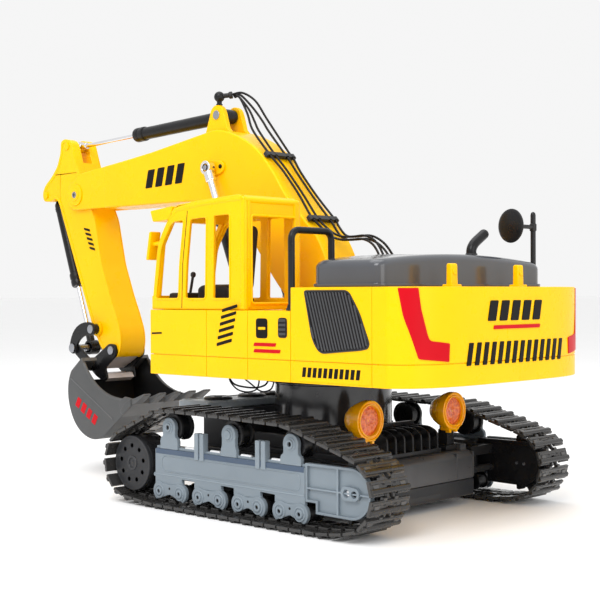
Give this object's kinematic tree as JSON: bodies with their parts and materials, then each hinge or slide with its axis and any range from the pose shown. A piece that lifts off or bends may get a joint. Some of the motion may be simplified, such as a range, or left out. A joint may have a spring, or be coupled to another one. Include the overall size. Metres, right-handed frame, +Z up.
{
  "type": "toy excavator",
  "caption": "Tracked toy excavator with slewing house, cab, raised boom, stick, bucket linkage, telescoping cylinders, hose lines and tail lamps",
  "frame": {"origin": "middle of the bounding box at ground level", "axes": "+X to the bucket end, +Y to the left side with the cab, +Z up"},
  "size_m": [0.5024, 0.2186, 0.3095],
  "materials": {
    "yellow_body": "glossy moulded plastic, saturated yellow",
    "black_plastic": "satin black plastic",
    "charcoal_plastic": "satin dark grey plastic",
    "grey_blue_plastic": "satin light blue-grey plastic",
    "cover_grey": "smooth grey plastic with soft highlights",
    "chrome_rod": "polished",
    "amber_lens": "glossy orange lamp plastic"
  },
  "bodies": {
    "chassis": {"chassis_hull": "charcoal_plastic", "battery_cover": "charcoal_plastic", "cooling_fins": "black_plastic", "front_deck": "grey_blue_plastic", "slew_base": "black_plastic", "left_side_frame": "grey_blue_plastic", "left_track": "black_plastic", "left_gearbox": "black_plastic", "left_gearbox_cover": "grey_blue_plastic", "left_tail_lamp": "amber_lens", "right_side_frame": "grey_blue_plastic", "right_track": "black_plastic", "right_gearbox": "black_plastic", "right_gearbox_cover": "grey_blue_plastic", "right_tail_lamp": "amber_lens"},
    "house": {"turntable": "black_plastic", "house_shell": "yellow_body", "counterweight": "yellow_body", "engine_cover": "cover_grey", "cab": "yellow_body", "cab_seat": "black_plastic", "handrail": "black_plastic", "tail_mirror": "black_plastic", "exhaust": "black_plastic", "boom_bracket": "charcoal_plastic", "hose_bundle": "black_plastic", "belly_wire": "black_plastic"},
    "boom": {"boom": "yellow_body", "elbow_pin": "chrome_rod", "hose_guide": "black_plastic", "upper_hose_clamp": "black_plastic", "lower_hose_clamp": "black_plastic", "hose_1": "black_plastic", "hose_2": "black_plastic", "hose_3": "black_plastic", "hose_4": "black_plastic"},
    "stick": {"stick": "yellow_body"},
    "rocker": {"rocker": "black_plastic"},
    "bucket_link": {"bucket_link": "black_plastic"},
    "bucket": {"bucket": "charcoal_plastic", "bucket_hinge": "grey_blue_plastic"},
    "left_lift_barrel": {"left_lift_barrel": "black_plastic"},
    "left_lift_rod": {"left_lift_rod": "chrome_rod"},
    "right_lift_barrel": {"right_lift_barrel": "black_plastic"},
    "right_lift_rod": {"right_lift_rod": "chrome_rod"},
    "arm_barrel": {"arm_barrel": "black_plastic"},
    "arm_rod": {"arm_rod": "chrome_rod"},
    "bucket_barrel": {"bucket_barrel": "black_plastic"},
    "bucket_rod": {"bucket_rod": "chrome_rod"},
    "left_sprocket": {"left_sprocket": "black_plastic"},
    "left_idler": {"left_idler": "charcoal_plastic"},
    "left_front_carrier_roller": {"left_front_carrier_roller": "black_plastic"},
    "left_middle_carrier_roller": {"left_middle_carrier_roller": "black_plastic"},
    "left_rear_carrier_roller": {"left_rear_carrier_roller": "black_plastic"},
    "right_sprocket": {"right_sprocket": "black_plastic"},
    "right_idler": {"right_idler": "charcoal_plastic"},
    "right_front_carrier_roller": {"right_front_carrier_roller": "black_plastic"},
    "right_middle_carrier_roller": {"right_middle_carrier_roller": "black_plastic"},
    "right_rear_carrier_roller": {"right_rear_carrier_roller": "black_plastic"}
  },
  "joints": [
    {"name": "house_slew", "type": "hinge", "parent": "chassis", "child": "house", "pos_m": [-0.0945, 0, 0.094], "axis": [0, 0, 1], "range_deg": [-340, 340]},
    {"name": "boom_lift", "type": "hinge", "parent": "house", "child": "boom", "pos_m": [-0.0895, 0, 0.14], "axis": [0, 1, 0], "range_deg": [-20, 6], "deforming": ["hose_bundle"]},
    {"name": "stick_swing", "type": "hinge", "parent": "boom", "child": "stick", "pos_m": [0.1951, 0, 0.2384], "axis": [0, 1, 0], "range_deg": [-30, 0]},
    {"name": "bucket_curl", "type": "hinge", "parent": "stick", "child": "bucket", "pos_m": [0.1465, 0, 0.103], "axis": [0, 1, 0], "range_deg": [-36, 0]},
    {"name": "rocker_swing", "type": "hinge", "parent": "stick", "child": "rocker", "pos_m": [0.1685, 0, 0.121], "axis": [0, 1, 0], "range_deg": [-31, 0.1]},
    {"name": "link_swing", "type": "hinge", "parent": "rocker", "child": "bucket_link", "pos_m": [0.1945, 0, 0.104], "axis": [0, 1, 0], "range_deg": [-0.1, 37.7]},
    {"name": "left_lift_tilt", "type": "hinge", "parent": "house", "child": "left_lift_barrel", "pos_m": [-0.0425, 0.0245, 0.112], "axis": [0, 1, 0], "range_deg": [-18.4, 5.6]},
    {"name": "left_lift_slide", "type": "slide", "parent": "left_lift_barrel", "child": "left_lift_rod", "axis": [0.3807, 0, 0.9247], "range_m": [-0.0057, 0.0186]},
    {"name": "right_lift_tilt", "type": "hinge", "parent": "house", "child": "right_lift_barrel", "pos_m": [-0.0425, -0.0245, 0.112], "axis": [0, 1, 0], "range_deg": [-18.4, 5.6]},
    {"name": "right_lift_slide", "type": "slide", "parent": "right_lift_barrel", "child": "right_lift_rod", "axis": [0.3807, 0, 0.9247], "range_m": [-0.0057, 0.0186]},
    {"name": "arm_tilt", "type": "hinge", "parent": "boom", "child": "arm_barrel", "pos_m": [0.0175, 0, 0.291], "axis": [0, 1, 0], "range_deg": [-1.1, 0.1]},
    {"name": "arm_slide", "type": "slide", "parent": "arm_barrel", "child": "arm_rod", "axis": [0.9992, 0, -0.041], "range_m": [-0.0249, 0.0001]},
    {"name": "bucket_ram_tilt", "type": "hinge", "parent": "stick", "child": "bucket_barrel", "pos_m": [0.245, 0, 0.241], "axis": [0, 1, 0], "range_deg": [-0.2, 0.05]},
    {"name": "bucket_ram_slide", "type": "slide", "parent": "bucket_barrel", "child": "bucket_rod", "axis": [-0.3459, 0, -0.9383], "range_m": [-0.0168, 0.0001]},
    {"name": "left_sprocket_turn", "type": "hinge", "parent": "chassis", "child": "left_sprocket", "pos_m": [-0.1995, 0.091, 0.0286], "axis": [0, 1, 0], "continuous": true},
    {"name": "left_idler_turn", "type": "hinge", "parent": "chassis", "child": "left_idler", "pos_m": [0.0105, 0.091, 0.0286], "axis": [0, 1, 0], "continuous": true},
    {"name": "left_front_carrier_turn", "type": "hinge", "parent": "chassis", "child": "left_front_carrier_roller", "pos_m": [-0.029, 0.091, 0.057], "axis": [0, 1, 0], "continuous": true},
    {"name": "left_middle_carrier_turn", "type": "hinge", "parent": "chassis", "child": "left_middle_carrier_roller", "pos_m": [-0.0905, 0.091, 0.0564], "axis": [0, 1, 0], "continuous": true},
    {"name": "left_rear_carrier_turn", "type": "hinge", "parent": "chassis", "child": "left_rear_carrier_roller", "pos_m": [-0.1485, 0.091, 0.055], "axis": [0, 1, 0], "continuous": true},
    {"name": "right_sprocket_turn", "type": "hinge", "parent": "chassis", "child": "right_sprocket", "pos_m": [-0.1995, -0.091, 0.0286], "axis": [0, 1, 0], "continuous": true},
    {"name": "right_idler_turn", "type": "hinge", "parent": "chassis", "child": "right_idler", "pos_m": [0.0105, -0.091, 0.0286], "axis": [0, 1, 0], "continuous": true},
    {"name": "right_front_carrier_turn", "type": "hinge", "parent": "chassis", "child": "right_front_carrier_roller", "pos_m": [-0.029, -0.091, 0.057], "axis": [0, 1, 0], "continuous": true},
    {"name": "right_middle_carrier_turn", "type": "hinge", "parent": "chassis", "child": "right_middle_carrier_roller", "pos_m": [-0.0905, -0.091, 0.0564], "axis": [0, 1, 0], "continuous": true},
    {"name": "right_rear_carrier_turn", "type": "hinge", "parent": "chassis", "child": "right_rear_carrier_roller", "pos_m": [-0.1485, -0.091, 0.055], "axis": [0, 1, 0], "continuous": true}
  ],
  "couplings": [
    {"joint": "rocker_swing", "follows": "bucket_curl", "ratio": 0.85757},
    {"joint": "link_swing", "follows": "bucket_curl", "ratio": -1.0419},
    {"joint": "left_lift_tilt", "follows": "boom_lift", "ratio": 0.90996},
    {"joint": "left_lift_slide", "follows": "boom_lift", "m_per_rad": -0.052596},
    {"joint": "right_lift_tilt", "follows": "boom_lift", "ratio": 0.90996},
    {"joint": "right_lift_slide", "follows": "boom_lift", "m_per_rad": -0.052596},
    {"joint": "arm_tilt", "follows": "stick_swing", "ratio": 0.03092},
    {"joint": "arm_slide", "follows": "stick_swing", "m_per_rad": 0.047028},
    {"joint": "bucket_ram_tilt", "follows": "bucket_curl", "ratio": 0.004},
    {"joint": "bucket_ram_slide", "follows": "bucket_curl", "m_per_rad": 0.026327},
    {"joint": "left_sprocket_turn", "follows": "left_idler_turn", "ratio": 1},
    {"joint": "left_front_carrier_turn", "follows": "left_idler_turn", "ratio": 2.0588},
    {"joint": "left_middle_carrier_turn", "follows": "left_idler_turn", "ratio": 2.0588},
    {"joint": "left_rear_carrier_turn", "follows": "left_idler_turn", "ratio": 2.0588},
    {"joint": "right_sprocket_turn", "follows": "right_idler_turn", "ratio": 1},
    {"joint": "right_front_carrier_turn", "follows": "right_idler_turn", "ratio": 2.0588},
    {"joint": "right_middle_carrier_turn", "follows": "right_idler_turn", "ratio": 2.0588},
    {"joint": "right_rear_carrier_turn", "follows": "right_idler_turn", "ratio": 2.0588}
  ]
}
